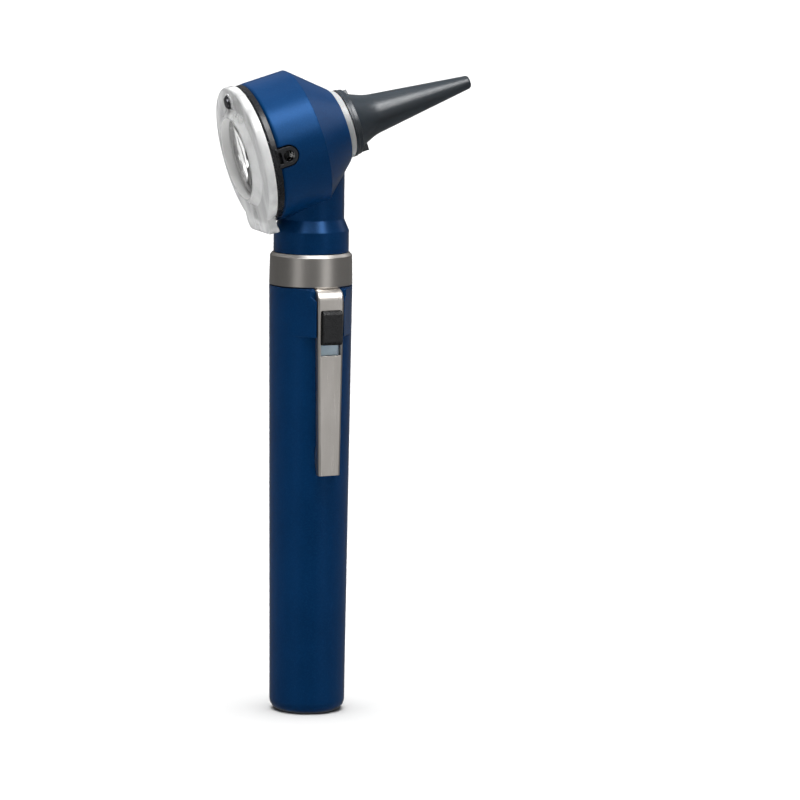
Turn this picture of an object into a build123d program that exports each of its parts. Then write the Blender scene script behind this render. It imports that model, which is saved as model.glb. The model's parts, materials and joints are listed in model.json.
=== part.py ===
"""Pocket otoscope: battery handle, slide switch, screw-on head, swinging lens and ear speculum.

Frame: millimetres, +Z up the handle's axis, origin at the centre of the handle's foot,
+X the way the speculum points, and the lens on the -X side.
"""
from build123d import *
import os
from math import acos, atan2, cos, degrees, hypot, pi, radians, sin, tan

os.makedirs("parts", exist_ok=True)

# Handle
HANDLE_TOP = 104.0          # height of the moulded handle
FOOT_RADIUS = 9.1
TOP_RADIUS = 10.05
FOOT_FILLET = 2.7
FLOOR = 2.7                 # thickness of the closed foot
BORE_RADIUS = 7.35          # room for an AA cell
GAP = 0.02                  # gap between fixed pieces of one body

# AA cells and their spring
CELL_RADIUS = 7.2
CELL_LENGTH = 50.5
NUB_RADIUS = 2.75
NUB_HEIGHT = 1.0
CELL_FILLET = 0.5
SPRING_BOTTOM = 3.0
LOWER_CELL = 5.5            # height of the lower cell's flat end
UPPER_CELL = LOWER_CELL + CELL_LENGTH
SPRING_WIRE = 0.4
SPRING_WIDE = 4.6
SPRING_NARROW = 2.6
SPRING_TURNS = 2.5

# Collar ring and the screw joint in it
COLLAR_TOP = 112.0
COLLAR_TOP_RADIUS = 9.9
THREAD_RADIUS = 8.65        # bore that takes the head's screw sleeve
THREAD_FLOOR = 106.4
PASSAGE_RADIUS = 7.5        # the cells pass through it
SKIRT_RADIUS = 8.58
SKIRT_BOTTOM = 100.8
COUNTERBORE_FLOOR = 100.5
COUNTERBORE_RADIUS = 8.6
COLLAR_BEVEL = (0.6, 0.7)   # width and height of the bevel round its top
COLLAR_UNDERCUT = 0.35
WASHER_THICK = 0.5

# Pocket clip, with the boss round its top
CLIP_DIRECTION = -83.6      # degrees from +X, seen from above
CLIP_FACE = 11.8            # distance of the clip's front face from the axis
CLIP_SHEET = 0.6
CLIP_FOOT = 59.0
CLIP_BACK = 10.1            # how far in the side flanges reach
CLIP_HALF_TOP = 3.4
CLIP_HALF_FOOT = 2.8
SHOULDER_RADIUS = 2.6
CLIP_ROOT = 8.7             # inner end of the foot clamped under the collar
NIB_HEIGHT = 63.3
NIB_RADIUS = 7.2
NIB_REACH = 9.35
SLOT_HALF = 2.65
SLOT_LOW = 88.0
SLOT_HIGH = 99.0
BOSS_CREST = 11.3
BOSS_HALF = 3.65
BOSS_LOW = 92.5
BOSS_HIGH = 103.7
BOSS_BEVEL = (2.2, 2.6)      # width and height of the corners cut beside the clip's shoulder

# Slide switch
PLATE_BACK = 9.77
PLATE_FACE = 10.75
PLATE_HALF = 2.5
PLATE_LOW = 85.5
PLATE_HIGH = 101.5
SLIDER_LOW = 90.7
SLIDER_HIGH = 98.9
SLIDER_HALF = 2.47
SLIDER_FACE = 13.05
SLIDER_BEVEL = (0.55, 0.77)  # depth and height of the bevels at its ends
STEM_HALF = 0.75
STEM_LOW = 93.35
STEM_HIGH = 96.35
STEM_SLOT_LOW = 90.6
STEM_SLOT_HIGH = 96.5
STRIP_INNER = 7.45
STRIP_OUTER = 7.75
STRIP_HALF = 1.5
STRIP_TOP = 91.3
TONGUE_LOW = 97.0
BRIDGE_INNER = 7.77
BRIDGE_OUTER = 8.1
BRIDGE_LOW = 93.2
BRIDGE_HIGH = 100.2
GROOVE_DEPTH = 8.2
GROOVE_HALF = 1.8

# Head: axis, barrel, cone and neck
HEAD_TILT = 16.8            # degrees that the head's axis rises towards +X
HEAD_HEIGHT = 140.25        # where the head's axis meets the handle's axis
BARREL_RADIUS = 16.8
BARREL_REAR = -15.5         # places along the head's axis, forwards positive; cut back square to the lens
BARREL_FRONT = -2.4
CONE_FRONT = 6.4
CONE_RADIUS = 9.3
CONE_FILLET = 0.5
REAR_FILLET = 0.9
HOUSING_WALL = 1.8
HOUSING_BORE = 14.95
NECK_LOW = 112.05
NECK_RADIUS = 9.08
NECK_STEP = 117.25
NECK_CONE_TOP = 120.05
NECK_UPPER_RADIUS = 7.9
NECK_TOP = 134.25           # the neck ends inside the barrel
SOCKET_RADIUS = 7.35
SOCKET_TOP = 118.6
THROAT_RADIUS = 5.2
THROAT_TOP = 132.25

# Viewing insert with the port
INSERT_TUBE_REAR = -15.2
INSERT_HOLLOW_REAR = -14.2
INSERT_TUBE_FRONT = -7.5
INSERT_OUTER = 14.9
INSERT_INNER = 13.2
INSERT_OPENING = 11.4
INSERT_STEP = 0.55          # step where the insert's tube turns into its cone
PORT_PLACE = -11.9
PORT_RADIUS = 1.35
PORT_EAR_RADIUS = 2.25
EAR_REAR = -14.8
PORT_NOTCH_RADIUS = 2.6
PORT_FACE = 17.05
RELIEF_PLACE = -14.0
RELIEF_LENGTH = 1.0
RELIEF_WIDTH = 2.8
RELIEF_DEPTH = 1.3

# Nozzle, built up in layers from the axis outwards: radii at its root and at its tip
NOZZLE_ROOT = 8.5
NOZZLE_TIP = 18.2
BORE_LAYER = (3.9, 2.3)
INSERT_LAYER = (4.4, 2.75)
FIBRE_LAYER = (4.85, 3.12)
SHELL_LAYER = (5.4, 3.6)
FIBRE_REAR = -1.6
FIBRE_THICK = 0.45
SHELL_REAR = 5.1
SHELL_THICK = 0.5
SEAT_FRONT = 8.2
SEAT_RADIUS = 8.35
SEAT_SPIGOT = 8.05
BUNDLE_RADIUS = 1.0

# Screw sleeve and lamp
SLEEVE_BOTTOM = 106.95
SLEEVE_INNER = 6.9
SLEEVE_TOP = 118.5
WEB_LOW = 112.0
WEB_HIGH = 113.2
LAMP_RADIUS = 3.2
LAMP_BASE_LOW = 109.5
LAMP_BASE_HIGH = 116.0
LAMP_TIP = 122.3
LAMP_FLANGE_RADIUS = 4.6
GLASS_RADIUS = 2.9
BUSH_LOW = 107.0
BUSH_HIGH = 108.2
CONTACT_LOW = 106.55
CONTACT_RADIUS = 2.4
RIVET_RADIUS = 1.5

# Rear face, lens and plate: places along the lens axis, which is a little flatter than the head's
LENS_TILT = 14.1
LENS_CROSSING = -16.0       # where the lens axis crosses the head's axis
BARREL_END = 1.7
INSERT_REAR = -0.1
PLATE_FRONT = -0.25
PLATE_REAR = -2.3
PLATE_RADIUS = 17.1
LENS_RADIUS = 9.85
LENS_FLAT = -0.5
LENS_EDGE = -1.8
LENS_APEX = -3.2
RIM_FOOT_RADIUS = 12.2
RIM_TOP_RADIUS = 10.5
RIM_TOP = -3.8
PIVOT_UP = 13.6
PIVOT_RADIUS = 0.9
PIVOT_HEAD_RADIUS = 1.45
PIVOT_HEAD_THICK = 0.5
PIVOT_DEPTH = 1.2           # how far the pin reaches into the insert
PIVOT_WASHER_THICK = 0.16
PIVOT_WASHER_GAP = 0.2
PIVOT_BOSS_RADIUS = 2.2
PIVOT_BOSS_TOP = -2.6
TAB_HALF = 8.6
TAB_END = -18.75
TAB_CORNER = 2.6
TAB_LIP_FRONT = 0.5
TAB_LIP_WIDTH = 1.4
PLATE_FILLET = 0.6

# Speculum
SPECULUM_RIM = 8.27
SPECULUM_RIM_RADIUS = 8.35
SPECULUM_TIP = 41.6
SPECULUM_TIP_RADIUS = 1.6
SPECULUM_TAPER = 7.3        # degrees
SPECULUM_THROAT = 7.3       # inner radius at the rim
SPECULUM_WALL = 0.65
TIP_WALL = 0.5
TAPER_START = 16.5
SKIRT_LENGTH = 1.7
LUG_DIRECTIONS = (-94.0, 55.0)     # degrees round the head's axis from the far side, upwards at 90
LUG_RADIUS = 7.8
LUG_FRONT = 12.2
LUG_ROOT = 5.9
LUG_FLARE_RADIUS = 6.15     # radius of the flare at the lugs' front
LUG_WIDTH = 2.6

TILT = radians(HEAD_TILT)
FORWARDS = Vector(cos(TILT), 0, sin(TILT))
UPWARDS = Vector(-sin(TILT), 0, cos(TILT))
HEAD_CENTRE = Vector(0, 0, HEAD_HEIGHT)
HEAD_AXIS = Axis(HEAD_CENTRE, FORWARDS)
HEAD_SIDE = Plane(origin=HEAD_CENTRE, x_dir=FORWARDS, z_dir=(0, -1, 0))

LENS_FORWARDS = Vector(cos(radians(LENS_TILT)), 0, sin(radians(LENS_TILT)))
LENS_CENTRE = HEAD_CENTRE + FORWARDS * LENS_CROSSING
LENS_AXIS = Axis(LENS_CENTRE, LENS_FORWARDS)
LENS_SIDE = Plane(origin=LENS_CENTRE, x_dir=LENS_FORWARDS, z_dir=(0, -1, 0))

OUT = Vector(cos(radians(CLIP_DIRECTION)), sin(radians(CLIP_DIRECTION)), 0)
ACROSS = Vector(-OUT.Y, OUT.X, 0)
CLIP_SIDE = Plane(origin=(0, 0, 0), x_dir=OUT, z_dir=(OUT.Y, -OUT.X, 0))


def head_plane(along):
    """Plane across the head's axis: local X is +Y, local Y is up the head."""
    return Plane(origin=HEAD_CENTRE + FORWARDS * along, x_dir=(0, 1, 0), z_dir=FORWARDS)


def lens_plane(along):
    """Plane across the lens axis: local X is +Y, local Y is up the lens."""
    return Plane(origin=LENS_CENTRE + LENS_FORWARDS * along, x_dir=(0, 1, 0), z_dir=LENS_FORWARDS)


def clip_plane(distance):
    """Plane facing out along the clip's direction: local X runs across it, local Y is +Z."""
    return Plane(origin=OUT * distance, x_dir=ACROSS, z_dir=OUT)


def clip_box(inner, outer, half, low, high, mode=Mode.ADD):
    """Block between two distances from the axis, in the clip's direction."""
    with BuildSketch(clip_plane(inner)) as block:
        with Locations((0, (low + high) / 2)):
            Rectangle(2 * half, high - low)
    extrude(block.sketch, amount=outer - inner, mode=mode)


def turned(points, plane=Plane.XZ, axis=Axis.Z, mode=Mode.ADD):
    """Solid of revolution of a closed outline."""
    with BuildSketch(plane) as outline:
        with BuildLine():
            Polyline(*points, close=True)
        make_face()
    revolve(outline.sketch, axis=axis, mode=mode)


def turned_on_head(points, mode=Mode.ADD):
    """Solid of revolution about the head's axis, from (along, radius) points."""
    turned(points, HEAD_SIDE, HEAD_AXIS, mode)


def turned_on_lens(points, mode=Mode.ADD):
    """Solid of revolution about the lens axis, from (along, radius) points."""
    turned(points, LENS_SIDE, LENS_AXIS, mode)


def finish(part, name):
    """Label a finished piece and write its file."""
    part.label = name
    export_step(part, f"parts/{name}.step")


def handle_radius(height):
    """Outer radius of the tapered handle at a height."""
    return FOOT_RADIUS + (TOP_RADIUS - FOOT_RADIUS) * height / HANDLE_TOP


# ---------------------------------------------------------------- battery handle

boss_point = hypot(BOSS_CREST, BOSS_HALF)
tangent = atan2(BOSS_HALF, BOSS_CREST) + acos(handle_radius(BOSS_LOW) / boss_point)
boss_root = handle_radius(BOSS_LOW)

with BuildPart() as handle_tube:
    turned([(0, 0), (FOOT_RADIUS, 0), (TOP_RADIUS, HANDLE_TOP), (0, HANDLE_TOP)])
    fillet(handle_tube.edges().sort_by(Axis.Z)[0], FOOT_FILLET)
    # Raised boss whose sides run tangent to the handle
    with BuildSketch(Plane(origin=(0, 0, BOSS_LOW), x_dir=OUT, z_dir=(0, 0, 1))):
        Polygon(
            (0, 0),
            (boss_root * cos(tangent), -boss_root * sin(tangent)),
            (BOSS_CREST, -BOSS_HALF),
            (BOSS_CREST, BOSS_HALF),
            (boss_root * cos(tangent), boss_root * sin(tangent)),
            align=None,
        )
    extrude(amount=BOSS_HIGH - BOSS_LOW)
    # Channel for the clip, and the bevelled corners beside its shoulder
    channel = BOSS_HALF - 0.05
    clip_box(handle_radius(HANDLE_TOP), BOSS_CREST + 1, channel, BOSS_LOW - 1, HANDLE_TOP, Mode.SUBTRACT)
    with BuildSketch(clip_plane(TOP_RADIUS)):
        for side in (-1, 1):
            Polygon(
                (side * channel, BOSS_HIGH - BOSS_BEVEL[1]),
                (side * (channel + BOSS_BEVEL[0]), BOSS_HIGH),
                (side * channel, BOSS_HIGH),
                align=None,
            )
    extrude(amount=BOSS_CREST, mode=Mode.SUBTRACT)
    # Bore for the cells, and the counterbore for the collar's skirt
    for radius, floor in ((BORE_RADIUS, FLOOR), (COUNTERBORE_RADIUS, COUNTERBORE_FLOOR)):
        turned([(0, floor), (radius, floor), (radius, HANDLE_TOP), (0, HANDLE_TOP)], mode=Mode.SUBTRACT)
    # Groove for the contacts, seat for the switch plate, slot for the stem, notch for the clip's foot
    clip_box(0, GROOVE_DEPTH, GROOVE_HALF, FLOOR, HANDLE_TOP, Mode.SUBTRACT)
    clip_box(PLATE_BACK - GAP, BOSS_CREST, PLATE_HALF + GAP, PLATE_LOW - GAP, PLATE_HIGH + GAP, Mode.SUBTRACT)
    clip_box(0, BOSS_CREST, STEM_HALF + 0.1, STEM_SLOT_LOW, STEM_SLOT_HIGH, Mode.SUBTRACT)
    clip_box(0, BOSS_CREST, CLIP_HALF_TOP + GAP, HANDLE_TOP - CLIP_SHEET - GAP, HANDLE_TOP, Mode.SUBTRACT)
finish(handle_tube.part, "handle_tube")

with BuildPart() as collar_ring:
    turned([
        (PASSAGE_RADIUS, SKIRT_BOTTOM), (SKIRT_RADIUS, SKIRT_BOTTOM), (SKIRT_RADIUS, HANDLE_TOP + GAP),
        (TOP_RADIUS - COLLAR_UNDERCUT, HANDLE_TOP + GAP), (TOP_RADIUS, HANDLE_TOP + COLLAR_UNDERCUT),
        (COLLAR_TOP_RADIUS, COLLAR_TOP - COLLAR_BEVEL[1]), (COLLAR_TOP_RADIUS - COLLAR_BEVEL[0], COLLAR_TOP),
        (THREAD_RADIUS, COLLAR_TOP), (THREAD_RADIUS, THREAD_FLOOR), (PASSAGE_RADIUS, THREAD_FLOOR),
    ])
finish(collar_ring.part, "collar_ring")


def clip_outline(face, back, shoulder):
    """Side outline of the clip: straight face, rounded shoulder, foot reaching in under the collar."""
    bend = CLIP_FACE - SHOULDER_RADIUS
    top = HANDLE_TOP - SHOULDER_RADIUS
    with BuildSketch(CLIP_SIDE) as outline:
        with BuildLine():
            Line((back, CLIP_FOOT - 1), (face, CLIP_FOOT - 1))
            Line((face, CLIP_FOOT - 1), (face, top))
            JernArc((face, top), (0, 1), shoulder, 90)
            Line((bend, top + shoulder), (back, top + shoulder))
            Line((back, top + shoulder), (back, CLIP_FOOT - 1))
        make_face()
    return outline.sketch


def clip_front(inset, low):
    """Front outline of the clip, narrower towards its free end."""
    with BuildSketch(clip_plane(0)) as outline:
        Polygon(
            (-CLIP_HALF_FOOT + inset, low),
            (CLIP_HALF_FOOT - inset, low),
            (CLIP_HALF_TOP - inset, SLOT_HIGH),
            (CLIP_HALF_TOP - inset, HANDLE_TOP + 1),
            (-CLIP_HALF_TOP + inset, HANDLE_TOP + 1),
            (-CLIP_HALF_TOP + inset, SLOT_HIGH),
            align=None,
        )
    return outline.sketch


with BuildPart() as clip_inside:
    side = clip_outline(CLIP_FACE - CLIP_SHEET, 0, SHOULDER_RADIUS - CLIP_SHEET)
    extrude(side, amount=2 * CLIP_HALF_TOP, both=True)
    extrude(clip_front(CLIP_SHEET, 0), amount=CLIP_FACE, mode=Mode.INTERSECT)

with BuildPart() as pocket_clip:
    extrude(clip_outline(CLIP_FACE, CLIP_ROOT, SHOULDER_RADIUS), amount=2 * CLIP_HALF_TOP, both=True)
    extrude(clip_front(0, CLIP_FOOT), amount=CLIP_FACE + 1, mode=Mode.INTERSECT)
    face_edges = pocket_clip.edges().filter_by(lambda edge: edge.length > 30)
    fillet(face_edges.group_by(lambda edge: round(edge.center().dot(OUT), 1))[-1], 0.55)
    add(clip_inside.part, mode=Mode.SUBTRACT)
    # The flanges stop short of the handle, except at the rounded nibs near the free end
    with BuildSketch(CLIP_SIDE):
        with BuildLine():
            Polyline(
                (0, CLIP_FOOT - 1), (CLIP_BACK, CLIP_FOOT - 1), (CLIP_BACK, HANDLE_TOP - CLIP_SHEET),
                (0, HANDLE_TOP - CLIP_SHEET), close=True,
            )
        make_face()
        with Locations((NIB_REACH + NIB_RADIUS, NIB_HEIGHT)):
            Circle(NIB_RADIUS, mode=Mode.SUBTRACT)
    extrude(amount=2 * CLIP_HALF_TOP, both=True, mode=Mode.SUBTRACT)
    # Slot for the slide button
    with BuildSketch(clip_plane(CLIP_FACE - 2 * CLIP_SHEET)):
        with Locations((0, (SLOT_LOW + SLOT_HIGH) / 2)):
            RectangleRounded(2 * SLOT_HALF, SLOT_HIGH - SLOT_LOW, 0.3)
    extrude(amount=3 * CLIP_SHEET, mode=Mode.SUBTRACT)
finish(pocket_clip.part, "pocket_clip")

with BuildPart() as switch_plate:
    clip_box(PLATE_BACK, PLATE_FACE, PLATE_HALF, PLATE_LOW, PLATE_HIGH)
    clip_box(0, CLIP_FACE, STEM_HALF + 0.1, STEM_SLOT_LOW, STEM_SLOT_HIGH, Mode.SUBTRACT)
finish(switch_plate.part, "switch_plate")

with BuildPart() as contact_strip:
    clip_box(STRIP_INNER, STRIP_OUTER, STRIP_HALF, FLOOR, STRIP_TOP)
    clip_box(0, STRIP_OUTER, STRIP_HALF, FLOOR, SPRING_BOTTOM)
    with BuildSketch(Plane.XY.offset(FLOOR)):
        Circle(SPRING_WIDE + 2 * SPRING_WIRE)
    extrude(amount=SPRING_BOTTOM - FLOOR)
finish(contact_strip.part, "contact_strip")

with BuildPart() as contact_washer:
    with BuildSketch(Plane.XY.offset(COUNTERBORE_FLOOR)):
        Circle(SKIRT_RADIUS - 0.1)
        Circle(PASSAGE_RADIUS, mode=Mode.SUBTRACT)
    extrude(amount=SKIRT_BOTTOM - COUNTERBORE_FLOOR)
    clip_box(STRIP_INNER, STRIP_OUTER, STRIP_HALF, TONGUE_LOW, SKIRT_BOTTOM)
finish(contact_washer.part, "contact_washer")


def spring_point(share):
    """Point on the conical spring's centre line, from its wide foot (0) to its narrow top (1)."""
    angle = 2 * pi * SPRING_TURNS * share
    radius = SPRING_WIDE + (SPRING_NARROW - SPRING_WIDE) * share
    low = SPRING_BOTTOM + SPRING_WIRE
    height = low + (LOWER_CELL - SPRING_WIRE - low) * share
    return (radius * cos(angle), radius * sin(angle), height)


with BuildPart() as base_spring:
    with BuildLine():
        coil = Spline(*[spring_point(step / 40) for step in range(41)])
    with BuildSketch(Plane(origin=coil @ 0, z_dir=coil % 0)):
        Circle(SPRING_WIRE - GAP)
    sweep(path=coil)
finish(base_spring.part, "base_spring")

for name, bottom in (("battery_lower", LOWER_CELL), ("battery_upper", UPPER_CELL)):
    shoulder = bottom + CELL_LENGTH - NUB_HEIGHT
    with BuildPart() as battery:
        turned([(0, bottom), (CELL_RADIUS, bottom), (CELL_RADIUS, shoulder), (0, shoulder)])
        fillet(battery.edges().filter_by(GeomType.CIRCLE), CELL_FILLET)
        with BuildSketch(Plane.XY.offset(shoulder)):
            Circle(NUB_RADIUS)
        extrude(amount=NUB_HEIGHT)
    finish(battery.part, name)

# ---------------------------------------------------------------- slide switch

with BuildPart() as switch_slider:
    bevel_depth, bevel_height = SLIDER_BEVEL
    with BuildSketch(CLIP_SIDE):
        Polygon(
            (PLATE_FACE + 0.1, SLIDER_LOW),
            (SLIDER_FACE - bevel_depth, SLIDER_LOW),
            (SLIDER_FACE, SLIDER_LOW + bevel_height),
            (SLIDER_FACE, SLIDER_HIGH - bevel_height),
            (SLIDER_FACE - bevel_depth, SLIDER_HIGH),
            (PLATE_FACE + 0.1, SLIDER_HIGH),
            align=None,
        )
    extrude(amount=SLIDER_HALF, both=True)
    clip_box(BRIDGE_OUTER, PLATE_FACE + 0.2, STEM_HALF, STEM_LOW, STEM_HIGH)
finish(switch_slider.part, "switch_slider")

with BuildPart() as switch_contact:
    clip_box(BRIDGE_INNER, BRIDGE_OUTER, STRIP_HALF - 0.1, BRIDGE_LOW, BRIDGE_HIGH)
finish(switch_contact.part, "switch_contact")

# ---------------------------------------------------------------- friction washer

with BuildPart() as seal_washer:
    with BuildSketch(Plane.XY.offset(THREAD_FLOOR)):
        Circle(THREAD_RADIUS - 0.1)
        Circle(PASSAGE_RADIUS + 0.1, mode=Mode.SUBTRACT)
    extrude(amount=WASHER_THICK)
finish(seal_washer.part, "seal_washer")

# ---------------------------------------------------------------- head

cone_slope = (BARREL_RADIUS - CONE_RADIUS) / (CONE_FRONT - BARREL_FRONT)
inner_drop = HOUSING_WALL * hypot(1, cone_slope)


def cone_inside(along):
    """Radius inside the housing's cone."""
    return BARREL_RADIUS - inner_drop - cone_slope * (along - BARREL_FRONT)


cone_inside_rear = BARREL_FRONT + (BARREL_RADIUS - inner_drop - HOUSING_BORE) / cone_slope

with BuildPart() as head_housing:
    turned_on_head([
        (BARREL_REAR, 0), (BARREL_REAR, BARREL_RADIUS), (BARREL_FRONT, BARREL_RADIUS),
        (CONE_FRONT, CONE_RADIUS), (CONE_FRONT, 0),
    ])
    fillet(head_housing.edges().filter_by(GeomType.CIRCLE).sort_by(HEAD_AXIS)[-1], CONE_FILLET)
    # Rear cut back square to the lens axis
    beyond = BARREL_RADIUS + 2
    behind = BARREL_END - 4
    turned_on_lens([(BARREL_END, 0), (BARREL_END, beyond), (behind, beyond), (behind, 0)], Mode.SUBTRACT)
    fillet(head_housing.edges().sort_by(LENS_AXIS)[0], REAR_FILLET)
    turned([
        (0, NECK_LOW), (NECK_RADIUS - 0.25, NECK_LOW), (NECK_RADIUS, NECK_LOW + 0.25),
        (NECK_RADIUS, NECK_STEP), (NECK_UPPER_RADIUS, NECK_CONE_TOP), (NECK_UPPER_RADIUS, NECK_TOP),
        (0, NECK_TOP),
    ])
    # Hollow for the viewing insert, tapering to the seat ring's bore
    turned_on_head(
        [(BARREL_REAR - 1, 0), (BARREL_REAR - 1, HOUSING_BORE), (cone_inside_rear, HOUSING_BORE),
         (SHELL_REAR, cone_inside(SHELL_REAR)), (SHELL_REAR, SEAT_SPIGOT + GAP),
         (CONE_FRONT + 1, SEAT_SPIGOT + GAP), (CONE_FRONT + 1, 0)],
        Mode.SUBTRACT,
    )
    # Socket for the screw sleeve, and the throat that the light comes up
    for radius, top in ((SOCKET_RADIUS, SOCKET_TOP), (THROAT_RADIUS, THROAT_TOP)):
        turned([(0, NECK_LOW), (radius, NECK_LOW), (radius, top), (0, top)], mode=Mode.SUBTRACT)
    # Notch round the port's ear, open to the rear
    with BuildSketch(HEAD_SIDE):
        with Locations((PORT_PLACE, 0)):
            Circle(PORT_NOTCH_RADIUS)
        with Locations(((PORT_PLACE + BARREL_REAR - 1) / 2, 0)):
            Rectangle(PORT_PLACE - BARREL_REAR + 1, 2 * PORT_NOTCH_RADIUS)
    extrude(amount=BARREL_RADIUS + 1, mode=Mode.SUBTRACT)
finish(head_housing.part, "head_housing")

with BuildPart() as viewing_insert:
    # Ear that carries the port, standing in the housing's notch
    with BuildSketch(HEAD_SIDE):
        with Locations((PORT_PLACE, 0)):
            Circle(PORT_EAR_RADIUS)
        with Locations(((PORT_PLACE + EAR_REAR) / 2, 0)):
            Rectangle(PORT_PLACE - EAR_REAR, 2 * PORT_EAR_RADIUS)
    extrude(amount=PORT_FACE)
    turned_on_lens([
        (INSERT_REAR, 0), (INSERT_REAR, BARREL_RADIUS - 0.7), (INSERT_REAR + 0.5, BARREL_RADIUS),
        (BARREL_END - 0.05, BARREL_RADIUS), (BARREL_END - 0.05, 0),
    ])
    turned_on_head([
        (INSERT_TUBE_REAR, 0), (INSERT_TUBE_REAR, INSERT_OUTER), (INSERT_TUBE_FRONT, INSERT_OUTER),
        (INSERT_TUBE_FRONT, INSERT_OUTER - INSERT_STEP), (NOZZLE_ROOT, INSERT_LAYER[0]),
        (NOZZLE_TIP, INSERT_LAYER[1]), (NOZZLE_TIP, 0),
    ])
    turned_on_head(
        [(INSERT_HOLLOW_REAR, 0), (INSERT_HOLLOW_REAR, INSERT_INNER), (INSERT_TUBE_FRONT, INSERT_INNER),
         (NOZZLE_ROOT, BORE_LAYER[0]), (NOZZLE_TIP, BORE_LAYER[1]), (NOZZLE_TIP, 0)],
        Mode.SUBTRACT,
    )
    through = BARREL_END + 2
    turned_on_lens(
        [(INSERT_REAR, 0), (INSERT_REAR, INSERT_OPENING), (through, INSERT_OPENING), (through, 0)],
        Mode.SUBTRACT,
    )
    # Port, relief slot behind it, and the hole for the lens pivot
    with BuildSketch(HEAD_SIDE):
        with Locations((PORT_PLACE, 0)):
            Circle(PORT_RADIUS)
    extrude(amount=PORT_FACE + 1, mode=Mode.SUBTRACT)
    with BuildSketch(HEAD_SIDE.offset(PORT_FACE - RELIEF_DEPTH)):
        with Locations((RELIEF_PLACE - 0.1, 0)):
            Rectangle(RELIEF_LENGTH, RELIEF_WIDTH)
    extrude(amount=2 * RELIEF_DEPTH, mode=Mode.SUBTRACT)
    with BuildSketch(lens_plane(INSERT_REAR)):
        with Locations((0, PIVOT_UP)):
            Circle(PIVOT_RADIUS + GAP)
    extrude(amount=PIVOT_DEPTH, mode=Mode.SUBTRACT)
finish(viewing_insert.part, "viewing_insert")

insert_slope = (INSERT_OUTER - INSERT_STEP - INSERT_LAYER[0]) / (NOZZLE_ROOT - INSERT_TUBE_FRONT)


def insert_outside(along):
    """Outer radius of the insert's cone between its tube and the nozzle's root."""
    return INSERT_LAYER[0] + insert_slope * (NOZZLE_ROOT - along)


with BuildPart() as fibre_ring:
    turned_on_head([
        (FIBRE_REAR, insert_outside(FIBRE_REAR) + GAP),
        (FIBRE_REAR, insert_outside(FIBRE_REAR) + FIBRE_THICK),
        (NOZZLE_ROOT, FIBRE_LAYER[0]),
        (NOZZLE_TIP, FIBRE_LAYER[1]),
        (NOZZLE_TIP, INSERT_LAYER[1] + GAP),
        (NOZZLE_ROOT, INSERT_LAYER[0] + GAP),
    ])
finish(fibre_ring.part, "fibre_ring")

shell_rear_inner = insert_outside(SHELL_REAR) + FIBRE_THICK + GAP
shell_slope = (shell_rear_inner + SHELL_THICK - SHELL_LAYER[0]) / (NOZZLE_ROOT - SHELL_REAR)


def shell_outside(along):
    """Outer radius of the nozzle shell's rear cone."""
    return SHELL_LAYER[0] + shell_slope * (NOZZLE_ROOT - along)


with BuildPart() as nozzle_shell:
    turned_on_head([
        (SHELL_REAR, shell_rear_inner), (SHELL_REAR, shell_outside(SHELL_REAR)),
        (NOZZLE_ROOT, SHELL_LAYER[0]), (NOZZLE_TIP, SHELL_LAYER[1]), (NOZZLE_TIP, FIBRE_LAYER[1] + GAP),
        (NOZZLE_ROOT, FIBRE_LAYER[0] + GAP),
    ])
finish(nozzle_shell.part, "nozzle_shell")

with BuildPart() as seat_ring:
    turned_on_head([
        (SHELL_REAR, shell_outside(SHELL_REAR) + GAP), (SHELL_REAR, SEAT_SPIGOT),
        (CONE_FRONT + GAP, SEAT_SPIGOT), (CONE_FRONT + GAP, SEAT_RADIUS), (SEAT_FRONT - 0.3, SEAT_RADIUS),
        (SEAT_FRONT, SEAT_RADIUS - 0.3), (SEAT_FRONT, shell_outside(SEAT_FRONT) + 2 * GAP),
    ])
finish(seat_ring.part, "seat_ring")

bundle_offset = (BUNDLE_RADIUS + 0.15) * hypot(1, insert_slope)


def bundle_point(along):
    """Point on the fibre bundle's straight run under the insert's cone."""
    return HEAD_CENTRE + FORWARDS * along - UPWARDS * (insert_outside(along) + bundle_offset)


bend_along = (bundle_offset + INSERT_LAYER[0] + insert_slope * NOZZLE_ROOT) * sin(TILT)
bend_along = -bend_along / (cos(TILT) - insert_slope * sin(TILT))
with BuildPart() as fibre_bundle:
    with BuildLine() as route:
        Polyline((0, 0, LAMP_TIP + 0.3), bundle_point(bend_along), bundle_point(FIBRE_REAR + 0.4))
        fillet(route.vertices().sort_by(Axis.Z)[1], 2.0)
    with BuildSketch(Plane.XY.offset(LAMP_TIP + 0.3)):
        Circle(BUNDLE_RADIUS)
    sweep(path=route.line)
finish(fibre_bundle.part, "fibre_bundle")

with BuildPart() as connector_sleeve:
    turned([
        (SLEEVE_INNER, SLEEVE_BOTTOM), (SKIRT_RADIUS - 0.4, SLEEVE_BOTTOM),
        (SKIRT_RADIUS, SLEEVE_BOTTOM + 0.4), (SKIRT_RADIUS, NECK_LOW - GAP),
        (SOCKET_RADIUS - GAP, NECK_LOW - GAP),
        (SOCKET_RADIUS - GAP, SLEEVE_TOP), (THROAT_RADIUS, SLEEVE_TOP), (THROAT_RADIUS, WEB_HIGH),
        (LAMP_RADIUS + GAP, WEB_HIGH),
        (LAMP_RADIUS + GAP, WEB_LOW), (SLEEVE_INNER, WEB_LOW),
    ])
finish(connector_sleeve.part, "connector_sleeve")

with BuildPart() as contact_bush:
    bush_outer = SLEEVE_INNER - GAP
    bush_bore = RIVET_RADIUS + 0.05
    turned([(bush_bore, BUSH_LOW), (bush_outer, BUSH_LOW), (bush_outer, BUSH_HIGH), (bush_bore, BUSH_HIGH)])
finish(contact_bush.part, "contact_bush")

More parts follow.
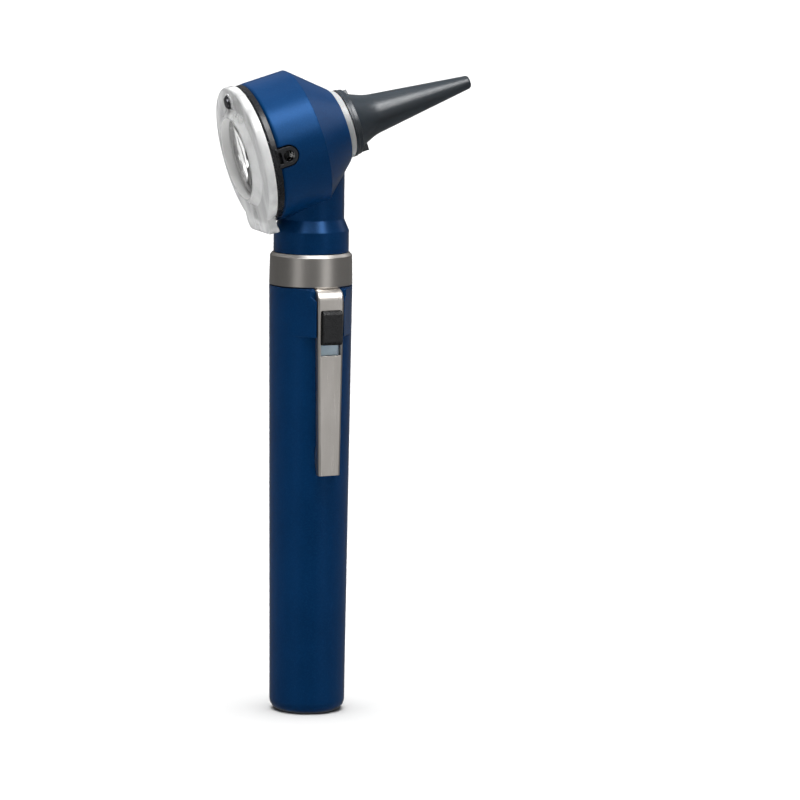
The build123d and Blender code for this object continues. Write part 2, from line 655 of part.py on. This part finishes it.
with BuildPart() as centre_contact:
    turned([
        (0, CONTACT_LOW), (CONTACT_RADIUS - 0.2, CONTACT_LOW), (CONTACT_RADIUS, CONTACT_LOW + 0.2),
        (CONTACT_RADIUS, BUSH_LOW - GAP), (RIVET_RADIUS, BUSH_LOW - GAP), (RIVET_RADIUS, BUSH_HIGH + 0.08),
        (0, BUSH_HIGH + 0.08),
    ])
finish(centre_contact.part, "centre_contact")

contact_top = LAMP_BASE_LOW - 0.55
with BuildPart() as lamp_contact:
    turned([(0, BUSH_HIGH + 0.1), (1.0, BUSH_HIGH + 0.1), (1.4, BUSH_HIGH + 0.3), (1.4, contact_top),
            (0, contact_top)])
finish(lamp_contact.part, "lamp_contact")

with BuildPart() as lamp_insulator:
    turned([(0, contact_top), (2.4, contact_top), (2.7, LAMP_BASE_LOW), (0, LAMP_BASE_LOW)])
finish(lamp_insulator.part, "lamp_insulator")

with BuildPart() as lamp_base:
    turned([
        (0, LAMP_BASE_LOW), (LAMP_RADIUS - 0.3, LAMP_BASE_LOW), (LAMP_RADIUS, LAMP_BASE_LOW + 0.3),
        (LAMP_RADIUS, WEB_HIGH + GAP), (LAMP_FLANGE_RADIUS, WEB_HIGH + GAP),
        (LAMP_FLANGE_RADIUS, WEB_HIGH + 0.7), (LAMP_RADIUS, WEB_HIGH + 0.7), (LAMP_RADIUS, LAMP_BASE_HIGH),
        (0, LAMP_BASE_HIGH),
    ])
finish(lamp_base.part, "lamp_base")

with BuildPart() as lamp_glass:
    with BuildSketch(Plane.XZ):
        with BuildLine():
            Line((0, LAMP_BASE_HIGH), (GLASS_RADIUS, LAMP_BASE_HIGH))
            Line((GLASS_RADIUS, LAMP_BASE_HIGH), (GLASS_RADIUS, LAMP_TIP - GLASS_RADIUS))
            JernArc((GLASS_RADIUS, LAMP_TIP - GLASS_RADIUS), (0, 1), GLASS_RADIUS, 90)
            Line((0, LAMP_TIP), (0, LAMP_BASE_HIGH))
        make_face()
    revolve(axis=Axis.Z)
finish(lamp_glass.part, "lamp_glass")

washer_rear = PIVOT_BOSS_TOP - PIVOT_WASHER_GAP
with BuildPart() as pivot_pin:
    with BuildSketch(lens_plane(washer_rear - GAP - PIVOT_HEAD_THICK)):
        with Locations((0, PIVOT_UP)):
            Circle(PIVOT_HEAD_RADIUS)
    extrude(amount=PIVOT_HEAD_THICK)
    fillet(pivot_pin.edges().sort_by(LENS_AXIS)[0], 0.25)
    with BuildSketch(lens_plane(washer_rear - GAP)):
        with Locations((0, PIVOT_UP)):
            Circle(PIVOT_RADIUS)
    extrude(amount=INSERT_REAR + PIVOT_DEPTH - 0.1 - washer_rear)
finish(pivot_pin.part, "pivot_pin")

with BuildPart() as pivot_washer:
    with BuildSketch(lens_plane(washer_rear)):
        with Locations((0, PIVOT_UP)):
            Circle(PIVOT_HEAD_RADIUS + 0.3)
            Circle(PIVOT_RADIUS + GAP, mode=Mode.SUBTRACT)
    extrude(amount=PIVOT_WASHER_THICK)
finish(pivot_washer.part, "pivot_washer")

# ---------------------------------------------------------------- lens

with BuildPart() as lens_plate:
    with BuildSketch(lens_plane(PLATE_REAR)):
        Circle(PLATE_RADIUS)
        with Locations((0, TAB_END / 2)):
            RectangleRounded(2 * TAB_HALF, -TAB_END, TAB_CORNER)
    extrude(amount=PLATE_FRONT - PLATE_REAR)
    fillet(lens_plate.faces().sort_by(LENS_AXIS)[0].edges(), PLATE_FILLET)
    # Lip on the tab, towards the head
    with BuildSketch(lens_plane(PLATE_FRONT - 0.5)):
        with Locations((0, TAB_END + TAB_LIP_WIDTH / 2)):
            RectangleRounded(2 * (TAB_HALF - TAB_CORNER + 1), TAB_LIP_WIDTH, TAB_LIP_WIDTH / 2 - 0.05)
    extrude(amount=TAB_LIP_FRONT - PLATE_FRONT + 0.5)
    # Raised conical rim round the lens, and the pivot boss
    turned_on_lens([
        (PLATE_REAR + 0.3, 0), (PLATE_REAR + 0.3, RIM_FOOT_RADIUS), (PLATE_REAR, RIM_FOOT_RADIUS),
        (RIM_TOP, RIM_TOP_RADIUS), (RIM_TOP, 0),
    ])
    with BuildSketch(lens_plane(PIVOT_BOSS_TOP)):
        with Locations((0, PIVOT_UP)):
            Circle(PIVOT_BOSS_RADIUS)
    extrude(amount=0.5)
    bore = LENS_RADIUS + 0.05
    through = PLATE_FRONT + 1
    turned_on_lens([(RIM_TOP - 1, 0), (RIM_TOP - 1, bore), (through, bore), (through, 0)], Mode.SUBTRACT)
    with BuildSketch(lens_plane(PIVOT_BOSS_TOP - 1)):
        with Locations((0, PIVOT_UP)):
            Circle(PIVOT_RADIUS + 0.05)
    extrude(amount=4, mode=Mode.SUBTRACT)
finish(lens_plate.part, "lens_plate")

with BuildPart() as magnifying_lens:
    with BuildSketch(LENS_SIDE):
        with BuildLine():
            Line((LENS_APEX, 0), (LENS_FLAT, 0))
            Line((LENS_FLAT, 0), (LENS_FLAT, LENS_RADIUS))
            Line((LENS_FLAT, LENS_RADIUS), (LENS_EDGE, LENS_RADIUS))
            bulge = LENS_EDGE - LENS_APEX
            curve = (LENS_RADIUS ** 2 + bulge ** 2) / (2 * bulge)
            half = degrees(atan2(LENS_RADIUS, curve - bulge))
            CenterArc((LENS_APEX + curve, 0), curve, 180 - half, half)
        make_face()
    revolve(axis=LENS_AXIS)
finish(magnifying_lens.part, "magnifying_lens")

# ---------------------------------------------------------------- speculum

taper = tan(radians(SPECULUM_TAPER))
taper_radius = SPECULUM_TIP_RADIUS + (SPECULUM_TIP - TAPER_START) * taper
skirt_front = SPECULUM_RIM + SKIRT_LENGTH
with BuildPart() as speculum:
    with BuildSketch(HEAD_SIDE):
        with BuildLine():
            # Rim and skirt
            Polyline(
                (SPECULUM_RIM, SPECULUM_THROAT),
                (SPECULUM_RIM, SPECULUM_RIM_RADIUS),
                (SPECULUM_RIM + 0.55, SPECULUM_RIM_RADIUS),
                (SPECULUM_RIM + 0.7, SPECULUM_RIM_RADIUS - 0.18),
                (skirt_front - 0.1, SPECULUM_RIM_RADIUS - 0.25),
                (skirt_front, SPECULUM_RIM_RADIUS - 0.4),
                (skirt_front, SPECULUM_THROAT),
            )
            # Flare into the taper
            Spline(
                (skirt_front, SPECULUM_THROAT),
                (LUG_FRONT, LUG_FLARE_RADIUS),
                (TAPER_START, taper_radius),
                tangents=[(0.8, -0.6), (1, -taper)],
            )
            # Taper, tip and inside
            Polyline(
                (TAPER_START, taper_radius),
                (SPECULUM_TIP - 0.4, SPECULUM_TIP_RADIUS + 0.05),
                (SPECULUM_TIP, SPECULUM_TIP_RADIUS - 0.2),
                (SPECULUM_TIP, SPECULUM_TIP_RADIUS - TIP_WALL),
                (TAPER_START, taper_radius - SPECULUM_WALL),
                (SPECULUM_RIM + 3.6, 5.45),
                (SPECULUM_RIM + 1.5, 6.8),
                (SPECULUM_RIM, SPECULUM_THROAT),
            )
        make_face()
    revolve(axis=HEAD_AXIS)
    # Lugs in front of the rim
    with BuildSketch(head_plane(SPECULUM_RIM + 1)):
        for direction in LUG_DIRECTIONS:
            with PolarLocations((LUG_ROOT + LUG_RADIUS) / 2, 1, direction):
                Rectangle(LUG_RADIUS - LUG_ROOT, LUG_WIDTH)
    extrude(amount=LUG_FRONT - SPECULUM_RIM - 1)
finish(speculum.part, "speculum")
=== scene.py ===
"""Pocket otoscope on a pale studio floor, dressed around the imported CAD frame.

Metres, +Z up the handle's axis, +X the way the speculum points, the lens on the -X side.
Every piece is a CAD node with a procedural material. Textures use object coordinates, so they
move with the piece.
"""
import json
from math import cos, pi, radians, sin

import bpy
from mathutils import Matrix, Vector


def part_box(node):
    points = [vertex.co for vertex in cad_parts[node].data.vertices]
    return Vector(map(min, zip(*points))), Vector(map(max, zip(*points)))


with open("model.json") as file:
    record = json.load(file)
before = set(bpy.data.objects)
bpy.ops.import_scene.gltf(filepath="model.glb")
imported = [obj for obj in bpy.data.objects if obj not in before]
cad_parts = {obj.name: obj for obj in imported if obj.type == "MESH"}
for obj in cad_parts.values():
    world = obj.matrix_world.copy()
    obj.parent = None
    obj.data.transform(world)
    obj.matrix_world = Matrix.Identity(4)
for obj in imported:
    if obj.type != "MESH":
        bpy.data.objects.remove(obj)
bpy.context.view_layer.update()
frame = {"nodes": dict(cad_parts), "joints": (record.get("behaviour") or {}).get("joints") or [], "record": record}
NODES = frame["nodes"]
JOINTS = {joint["name"]: joint for joint in frame["joints"]}
HEAD_FORWARDS = Vector(JOINTS["speculum_pull"]["axis"]).normalized()

# ---------------------------------------------------------------- camera

CAMERA_AZIMUTH = radians(-18.6)
CAMERA_ELEVATION = radians(8.4)
CAMERA_ROLL = radians(0.565)
CAMERA_DISTANCE = 1.2
CAMERA_TARGET = Vector((0, 0, 0.07))
AIM_RIGHT, AIM_UP = 0.02193, 0.00576      # the view's centre, beside the target
VIEW_WIDTH = 0.1936                       # width seen at the target's distance
SENSOR_WIDTH = 36                         # millimetres, as Blender takes it
CLIP_NEAR, CLIP_FAR = 0.05, 50


def make_camera():
    """Camera at the photograph's viewing angle, rolled a little and aimed beside the target."""
    data = bpy.data.cameras.new("camera")
    camera = bpy.data.objects.new("camera", data)
    bpy.context.scene.collection.objects.link(camera)
    ca, sa = cos(CAMERA_AZIMUTH), sin(CAMERA_AZIMUTH)
    ce, se = cos(CAMERA_ELEVATION), sin(CAMERA_ELEVATION)
    back = Vector((sa * ce, -ca * ce, se))
    right = Vector((ca, sa, 0))
    up = back.cross(right)
    rolled_right = right * cos(CAMERA_ROLL) + up * sin(CAMERA_ROLL)
    rolled_up = up * cos(CAMERA_ROLL) - right * sin(CAMERA_ROLL)
    aim = rolled_right * AIM_RIGHT + rolled_up * AIM_UP - back * CAMERA_DISTANCE
    z_axis = -aim.normalized()
    x_axis = (rolled_right - z_axis * rolled_right.dot(z_axis)).normalized()
    y_axis = z_axis.cross(x_axis)
    turn = Matrix((x_axis, y_axis, z_axis)).transposed().to_4x4()
    camera.matrix_world = Matrix.Translation(CAMERA_TARGET + back * CAMERA_DISTANCE) @ turn
    data.sensor_width = SENSOR_WIDTH
    data.lens = SENSOR_WIDTH / 2 / (VIEW_WIDTH / 2 / CAMERA_DISTANCE)
    data.clip_start, data.clip_end = CLIP_NEAR, CLIP_FAR
    bpy.context.scene.camera = camera


make_camera()

# ---------------------------------------------------------------- studio

LIGHT_AIM = Vector((0, 0, 0.1))           # just under the handle's collar
SKY_HEIGHTS = (0.45, 0.5, 1.0)            # just below the horizon, the horizon, straight up
FLOOR_REACH = 12
FLOOR_TONE = 0.42


def sky(below, horizon, overhead):
    """Grey world: dim at the horizon, brighter below it and straight overhead."""
    world = bpy.data.worlds.new("studio")
    world.use_nodes = True
    tree = world.node_tree
    coordinates = tree.nodes.new("ShaderNodeTexCoord")
    split = tree.nodes.new("ShaderNodeSeparateXYZ")
    tree.links.new(coordinates.outputs["Generated"], split.inputs[0])
    height = tree.nodes.new("ShaderNodeMapRange")
    height.inputs["From Min"].default_value = -1      # straight down
    tree.links.new(split.outputs["Z"], height.inputs["Value"])
    ramp = tree.nodes.new("ShaderNodeValToRGB")
    stops = ramp.color_ramp.elements
    stops.new(0.5)
    for stop, height_share, level in zip(stops, SKY_HEIGHTS, (below, horizon, overhead)):
        stop.position = height_share
        stop.color = (level, level, level, 1)
    tree.links.new(height.outputs["Result"], ramp.inputs["Fac"])
    tree.links.new(ramp.outputs["Color"], tree.nodes["Background"].inputs["Color"])
    bpy.context.scene.world = world


def ceiling(irradiance, width):
    """Overhead light this many degrees wide, even over the whole floor; it adds no highlights."""
    data = bpy.data.lights.new("ceiling", "SUN")
    data.energy = irradiance
    data.angle = radians(width)
    light = bpy.data.objects.new("ceiling", data)
    bpy.context.scene.collection.objects.link(light)
    light.visible_glossy = False
    light.visible_transmission = False


def soft_box(name, azimuth, elevation, distance, size, radiance, in_reflections=True):
    """Rectangular light aimed near the handle's top; azimuth 0 is the -Y side and grows towards +X.

    It adds no diffuse light. It shows through the clear pieces, and in reflections unless told not to.
    """
    data = bpy.data.lights.new(name, "AREA")
    data.shape = "RECTANGLE"
    data.size, data.size_y = size
    data.energy = radiance * pi * size[0] * size[1]
    light = bpy.data.objects.new(name, data)
    bpy.context.scene.collection.objects.link(light)
    around, up = radians(azimuth), radians(elevation)
    away = Vector((sin(around) * cos(up), -cos(around) * cos(up), sin(up)))
    light.location = LIGHT_AIM + away * distance
    light.rotation_mode = "QUATERNION"
    light.rotation_quaternion = (-away).to_track_quat("-Z", "Y")
    light.visible_camera = False
    light.visible_diffuse = False
    light.visible_glossy = in_reflections


def make_floor():
    """Wide pale floor without any shine, which doesn't show in reflections."""
    mesh = bpy.data.meshes.new("floor")
    corners = [(x * FLOOR_REACH, y * FLOOR_REACH, 0) for x, y in ((-1, -1), (1, -1), (1, 1), (-1, 1))]
    mesh.from_pydata(corners, [], [(0, 1, 2, 3)])
    floor = bpy.data.objects.new("floor", mesh)
    bpy.context.scene.collection.objects.link(floor)
    material = bpy.data.materials.new("floor")
    material.use_nodes = True
    shader = material.node_tree.nodes["Principled BSDF"]
    shader.inputs["Base Color"].default_value = (FLOOR_TONE, FLOOR_TONE, FLOOR_TONE, 1)
    shader.inputs["Roughness"].default_value = 1.0
    shader.inputs["Specular IOR Level"].default_value = 0.0
    mesh.materials.append(material)
    floor.visible_glossy = False


sky(below=0.2, horizon=0.03, overhead=0.6)
ceiling(irradiance=8.0, width=50)
# azimuth and elevation in degrees, distance, (width, height), radiance
soft_box("overhead_box", 2, 58, 0.9, (0.7, 0.3), 14)
soft_box("right_box", 21, 38, 1.0, (0.26, 0.5), 19)
soft_box("left_box", -42, 36, 1.0, (0.22, 0.45), 9)
soft_box("side_box", 105, 27, 1.0, (0.4, 0.4), 1.0)
soft_box("right_low_box", 25, -2, 1.0, (0.4, 0.5), 0.85)
soft_box("left_low_box", -55, -2, 1.0, (0.4, 0.5), 0.6)
soft_box("back_card", -167, -16, 0.9, (0.8, 0.6), 0.9, in_reflections=False)
make_floor()
bpy.context.scene.view_settings.view_transform = "Standard"

# ---------------------------------------------------------------- material helpers

NOISE_LOW, NOISE_HIGH = 0.3, 0.7          # most of a noise lies between these
BEVEL_SAMPLES = 4
FULL_WEAR_TURN = 0.5                      # 1 minus the cosine of the normal's turn at a worn edge


def brighter(colour, times):
    """The colour with each channel multiplied, up to 1."""
    return tuple(min(1.0, times * channel) for channel in colour)


class Surface:
    """A Principled material for one of the record's slots, and the nodes that feed it."""

    def __init__(self, slot, **values):
        self.slot = slot
        self.material = bpy.data.materials.new(slot)
        self.material.use_nodes = True
        self.tree = self.material.node_tree
        self.shader = self.tree.nodes["Principled BSDF"]
        self.coordinates = self.tree.nodes.new("ShaderNodeTexCoord").outputs["Object"]
        for socket, value in values.items():
            self.set(socket.replace("_", " "), value)

    def set(self, socket, value):
        self.shader.inputs[socket].default_value = (*value, 1) if isinstance(value, tuple) else value

    def link(self, output, socket):
        self.tree.links.new(output, self.shader.inputs[socket])

    def node(self, kind, inputs=(), **settings):
        made = self.tree.nodes.new(kind)
        for setting, value in settings.items():
            setattr(made, setting, value)
        for socket, value in dict(inputs).items():
            if isinstance(value, bpy.types.NodeSocket):
                self.tree.links.new(value, made.inputs[socket])
            else:
                made.inputs[socket].default_value = value
        return made

    def noise(self, cells, density=(1, 1, 1), turn=(0, 0, 0), detail=3.0, roughness=0.5):
        """Noise with this many cells to the metre, times a density along each turned axis."""
        mapping = self.node("ShaderNodeMapping", {"Vector": self.coordinates, "Rotation": turn})
        scaling = self.node("ShaderNodeMapping", {"Vector": mapping.outputs[0], "Scale": density})
        made = self.node(
            "ShaderNodeTexNoise",
            {"Vector": scaling.outputs[0], "Scale": cells, "Detail": detail, "Roughness": roughness},
        )
        return made.outputs["Fac"]

    def spread(self, factor, low, high, start=NOISE_LOW, end=NOISE_HIGH):
        """A number from low to high as the factor goes from start to end."""
        inputs = {
            "Value": factor, "From Min": start, "From Max": end, "To Min": low, "To Max": high,
        }
        return self.node("ShaderNodeMapRange", inputs).outputs["Result"]

    def colours(self, factor, stops):
        """Colour ramp from (position, colour) stops."""
        ramp = self.node("ShaderNodeValToRGB", {"Fac": factor})
        elements = ramp.color_ramp.elements
        while len(elements) < len(stops):
            elements.new(0.5)
        for element, (position, colour) in zip(elements, stops):
            element.position = position
            element.color = (*colour, 1)
        return ramp.outputs["Color"]

    def clouded(self, noise, dark, light):
        """A colour from dark to light as the noise rises."""
        return self.colours(noise, [(NOISE_LOW, dark), (NOISE_HIGH, light)])

    def blend(self, factor, first, second):
        """Mix of two colours, each a socket or a plain colour."""
        mix = self.node("ShaderNodeMix", {"Factor": factor}, data_type="RGBA")
        for socket, value in ((6, first), (7, second)):
            if isinstance(value, tuple):
                mix.inputs[socket].default_value = (*value, 1)
            else:
                self.tree.links.new(value, mix.inputs[socket])
        return mix.outputs[2]

    def rounded(self, radius):
        """Normal that rounds edges off over this radius."""
        return self.node("ShaderNodeBevel", {"Radius": radius}, samples=BEVEL_SAMPLES).outputs[0]

    def edges(self, radius, least_turn):
        """1 along sharp edges and 0 on open faces, where the normal turns less than the least."""
        rounded = self.rounded(radius)
        geometry = self.node("ShaderNodeNewGeometry")
        inputs = {0: rounded, 1: geometry.outputs["Normal"]}
        dot = self.node("ShaderNodeVectorMath", inputs, operation="DOT_PRODUCT").outputs["Value"]
        return self.spread(dot, 1.0, 0.0, 1 - FULL_WEAR_TURN, 1 - least_turn)

    def math(self, operation, first, second):
        """The operation on two values, each a socket or a number."""
        return self.node("ShaderNodeMath", {0: first, 1: second}, operation=operation).outputs[0]

    def relief(self, height, depth, strength, rounding=None):
        """Bumps of this depth, and edges that look rounded off over the rounding's radius."""
        inputs = {"Height": height, "Distance": depth, "Strength": strength}
        if rounding:
            inputs["Normal"] = self.rounded(rounding)
        self.link(self.node("ShaderNodeBump", inputs).outputs[0], "Normal")


def dress(surface):
    """Puts a material on every CAD node that the record gives its slot."""
    for part in frame["record"]["subparts"]:
        if part["material_slot"] == surface.slot:
            for holder in NODES[part["node"]].material_slots:
                holder.material = surface.material


# ---------------------------------------------------------------- plastics


def blue_plastic():
    """Navy moulding with a fine spark-eroded grain, and paler rubbed edges."""
    surface = Surface("blue_plastic", Specular_IOR_Level=0.3, Specular_Tint=(0.16, 0.42, 1.0))
    cloud = surface.noise(60, detail=2)
    colour = surface.clouded(cloud, (0.0001, 0.0185, 0.068), (0.0003, 0.023, 0.083))
    grain = surface.noise(2800, detail=2, roughness=0.6)
    speckle = surface.spread(grain, 0.0, 0.3, 0.45, 0.75)
    colour = surface.blend(speckle, colour, (0.006, 0.05, 0.15))
    worn = surface.edges(radius=0.0004, least_turn=0.03)
    rubbed = surface.math("MULTIPLY", worn, surface.spread(cloud, 0.1, 0.4))
    colour = surface.blend(rubbed, colour, (0.02, 0.075, 0.19))
    surface.link(colour, "Base Color")
    surface.link(surface.spread(surface.noise(420), 0.29, 0.31), "Roughness")
    surface.relief(grain, depth=0.00002, strength=0.5, rounding=0.00035)
    return surface


def black_plastic(slot, tone, roughness, grain_cells=2200, grain_depth=0.000012):
    """Black moulding with a faint grain, and greyer handled edges."""
    surface = Surface(slot, Specular_IOR_Level=0.3)
    cloud = surface.noise(150)
    colour = surface.clouded(cloud, tone, brighter(tone, 1.6))
    worn = surface.edges(radius=0.0003, least_turn=0.03)
    colour = surface.blend(surface.math("MULTIPLY", worn, 0.35), colour, (0.05, 0.052, 0.058))
    surface.link(colour, "Base Color")
    surface.link(surface.spread(surface.noise(700), roughness - 0.05, roughness + 0.07), "Roughness")
    surface.relief(surface.noise(grain_cells), grain_depth, strength=0.5, rounding=0.0002)
    return surface


def speculum_grey():
    """Dark blue-grey polypropylene with flow marks along the cone."""
    surface = Surface(
        "speculum_grey", Specular_IOR_Level=0.36, Subsurface_Weight=0.03, Subsurface_Scale=0.0008
    )
    around = HEAD_FORWARDS.to_track_quat("X", "Z").inverted().to_euler()
    flow = surface.noise(260, (0.15, 1.6, 1.6), tuple(around))
    colour = surface.clouded(flow, (0.014, 0.019, 0.024), (0.021, 0.027, 0.034))
    worn = surface.edges(radius=0.0003, least_turn=0.03)
    colour = surface.blend(surface.math("MULTIPLY", worn, 0.5), colour, (0.11, 0.125, 0.14))
    surface.link(colour, "Base Color")
    surface.link(surface.spread(surface.noise(900), 0.28, 0.37), "Roughness")
    surface.relief(surface.noise(4200), depth=0.000012, strength=0.5, rounding=0.00015)
    return surface


def clouded_plastic(slot, dark, light, roughness, scatter=0.1):
    """Faintly clouded moulding, lighter at its edges; scatter is how much light it lets in."""
    surface = Surface(
        slot, Specular_IOR_Level=0.45, Subsurface_Weight=scatter, Subsurface_Scale=0.001
    )
    colour = surface.clouded(surface.noise(300), dark, light)
    worn = surface.edges(radius=0.0002, least_turn=0.05)
    surface.link(surface.blend(worn, colour, light), "Base Color")
    surface.link(surface.spread(surface.noise(900), roughness - 0.05, roughness + 0.07), "Roughness")
    surface.relief(surface.noise(3000), depth=0.00001, strength=0.5, rounding=0.00012)
    return surface


CELL_LENGTH = 0.0505
BAND_START, BAND_EDGE = 0.8, 0.81         # as shares of each cell's length up the handle


def cell_jacket():
    """Shrunk plastic sleeve round a dry cell, dark with a copper-coloured band near its top."""
    surface = Surface("cell_jacket", Specular_IOR_Level=0.5, Coat_Weight=0.4, Coat_Roughness=0.12)
    split = surface.node("ShaderNodeSeparateXYZ", {0: surface.coordinates})
    along = surface.math("FLOORED_MODULO", split.outputs["Z"], CELL_LENGTH)
    share = surface.spread(along, 0.0, 1.0, 0.0, CELL_LENGTH)
    foot, dark, copper = (0.02, 0.02, 0.022), (0.024, 0.024, 0.026), (0.45, 0.2, 0.07)
    colour = surface.colours(share, [(0.0, foot), (BAND_START, dark), (BAND_EDGE, copper)])
    surface.link(colour, "Base Color")
    surface.link(surface.spread(surface.noise(800), 0.25, 0.4), "Roughness")
    surface.relief(surface.noise(1500), depth=0.00002, strength=0.4)
    return surface


# ---------------------------------------------------------------- metals


def turned_metal(slot, dark, light, roughness, depth=0.000008, anisotropy=0.55):
    """Lathe-turned metal: fine rings round the handle's axis, brighter worn edges."""
    surface = Surface(slot, Metallic=1.0, Anisotropic=anisotropy)
    tangent = surface.node("ShaderNodeTangent", direction_type="RADIAL", axis="Z").outputs[0]
    surface.link(tangent, "Tangent")
    rings = surface.noise(8000, (0.004, 0.004, 1), detail=2)
    smear = surface.noise(160, (1, 1, 0.4))
    colour = surface.clouded(smear, dark, light)
    worn = surface.edges(radius=0.00025, least_turn=0.04)
    surface.link(surface.blend(worn, colour, brighter(light, 1.35)), "Base Color")
    surface.link(surface.spread(rings, roughness - 0.03, roughness + 0.04), "Roughness")
    surface.relief(rings, depth, strength=0.6, rounding=0.00012)
    return surface


def sheet_metal(slot, dark, light, roughness, density_along=0.03):
    """Satin sheet with strokes along the handle, the longer the smaller their density along it."""
    surface = Surface(slot, Metallic=1.0)
    strokes = surface.noise(5200, (1, 1, density_along), detail=3)
    smear = surface.noise(220, (1, 1, 0.25))
    colour = surface.clouded(smear, dark, light)
    worn = surface.edges(radius=0.0002, least_turn=0.04)
    surface.link(surface.blend(worn, colour, brighter(light, 1.3)), "Base Color")
    surface.link(surface.spread(strokes, roughness - 0.06, roughness + 0.1), "Roughness")
    surface.relief(strokes, depth=0.000006, strength=0.6, rounding=0.0001)
    return surface


# ---------------------------------------------------------------- clear pieces


LENS_FORWARDS = Vector(JOINTS["lens_swing"]["axis"]).normalized()
LENS_CENTRE = sum((Vector(corner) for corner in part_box("magnifying_lens")), Vector()) / 2
HAZE_SWING = 0.4                          # how far the haze varies, as a share of itself
RUBBED = 0.06                             # roughness that the rubbing marks add


def ground_wall(surface, inner, outer):
    """1 between two radii round the lens axis and 0 elsewhere."""
    def vector(operation, *inputs):
        inputs = dict(enumerate(inputs))
        return surface.node("ShaderNodeVectorMath", inputs, operation=operation).outputs

    offset = vector("SUBTRACT", surface.coordinates, LENS_CENTRE)[0]
    across = vector("CROSS_PRODUCT", offset, LENS_FORWARDS)[0]
    radius = vector("LENGTH", across)["Value"]
    outside = surface.math("GREATER_THAN", radius, inner)
    inside = surface.math("LESS_THAN", radius, outer)
    return surface.math("MULTIPLY", outside, inside)


def clear_moulding(slot, tint, roughness, ior, haze=0.0, wall=None):
    """Clear plastic or glass with fine rubbing marks; haze is its mean share of milky scatter.

    wall is (inner radius, outer radius, colour) of a ground cylindrical wall round the lens axis.
    """
    surface = Surface(slot, Base_Color=tint, IOR=ior, Transmission_Weight=1.0)
    marks = surface.noise(1800, (1, 0.2, 1), (0.4, 0.2, 0.7), detail=4)
    dull = surface.spread(marks, roughness, roughness + RUBBED, 0.5, 0.8)
    clarity = 1.0
    if haze:
        swirl = surface.noise(170, (1, 1, 0.3), (0, 0.2, 0.3), detail=4)
        clarity = surface.spread(swirl, 1 - (1 - HAZE_SWING) * haze, 1 - (1 + HAZE_SWING) * haze)
    if wall:
        inner, outer, colour = wall
        ground = ground_wall(surface, inner, outer)
        surface.link(surface.blend(ground, tint, colour), "Base Color")
        clarity = surface.math("MULTIPLY", clarity, surface.math("SUBTRACT", 1.0, ground))
        dull = surface.math("MAXIMUM", dull, ground)
    if haze or wall:
        surface.link(clarity, "Transmission Weight")
    surface.link(dull, "Roughness")
    surface.relief(surface.noise(350), depth=0.000015, strength=0.3)
    return surface


def light_guide():
    """Packed glass fibres, polished at the end: bright dots in a slightly darker binder."""
    surface = Surface("light_guide", IOR=1.5, Transmission_Weight=0.35, Roughness=0.12)
    inputs = {"Vector": surface.coordinates, "Scale": 9000.0}
    cells = surface.node("ShaderNodeTexVoronoi", inputs).outputs["Distance"]
    stops = [(0.35, (0.95, 0.96, 0.93)), (0.6, (0.42, 0.40, 0.34))]
    surface.link(surface.colours(cells, stops), "Base Color")
    surface.relief(cells, depth=0.00001, strength=0.5)
    return surface


BORE_WALL = (0.0, 0.00995, (0.85, 0.85, 0.84))      # the plate's bore for the lens
LENS_EDGE = (0.0098, 0.01, (0.2, 0.2, 0.2))         # the lens's rim, at 9.85 mm

for surface in (
    blue_plastic(),
    black_plastic("black_plastic", (0.006, 0.0065, 0.008), 0.26),
    black_plastic("slider_black", (0.005, 0.0052, 0.006), 0.24),
    black_plastic("shell_black", (0.013, 0.013, 0.014), 0.45, 3200, 0.00002),
    black_plastic("lamp_black_glass", (0.006, 0.006, 0.009), 0.08),
    speculum_grey(),
    clouded_plastic("seat_grey", (0.27, 0.275, 0.275), (0.33, 0.335, 0.335), 0.42),
    clouded_plastic("switch_plate_plastic", (0.33, 0.44, 0.52), (0.42, 0.53, 0.61), 0.35),
    clouded_plastic("washer_nylon", (0.62, 0.60, 0.52), (0.74, 0.72, 0.64), 0.5, 0.25),
    clouded_plastic("bush_plastic", (0.20, 0.06, 0.03), (0.28, 0.09, 0.04), 0.4, 0.0),
    cell_jacket(),
    turned_metal("collar_steel", (0.46, 0.44, 0.415), (0.54, 0.515, 0.485), 0.33, 0.000003, 0.3),
    turned_metal("sleeve_nickel", (0.62, 0.58, 0.50), (0.72, 0.68, 0.60), 0.18),
    turned_metal("lamp_brass", (0.62, 0.45, 0.20), (0.76, 0.58, 0.30), 0.2),
    turned_metal("pin_steel", (0.07, 0.07, 0.075), (0.12, 0.12, 0.13), 0.3, anisotropy=0.2),
    sheet_metal("clip_steel", (0.48, 0.455, 0.425), (0.57, 0.54, 0.51), 0.33),
    sheet_metal("spring_brass", (0.66, 0.48, 0.22), (0.78, 0.60, 0.30), 0.25),
    sheet_metal("spring_steel", (0.5, 0.5, 0.5), (0.62, 0.62, 0.61), 0.22, 0.3),
    clear_moulding("clear_acrylic", (0.92, 0.925, 0.925), 0.04, 1.49, 0.42, BORE_WALL),
    clear_moulding("lens_glass", (0.96, 0.96, 0.95), 0.0, 1.52, wall=LENS_EDGE),
    clear_moulding("lamp_clear_glass", (0.98, 0.99, 0.99), 0.0, 1.5),
    light_guide(),
):
    dress(surface)
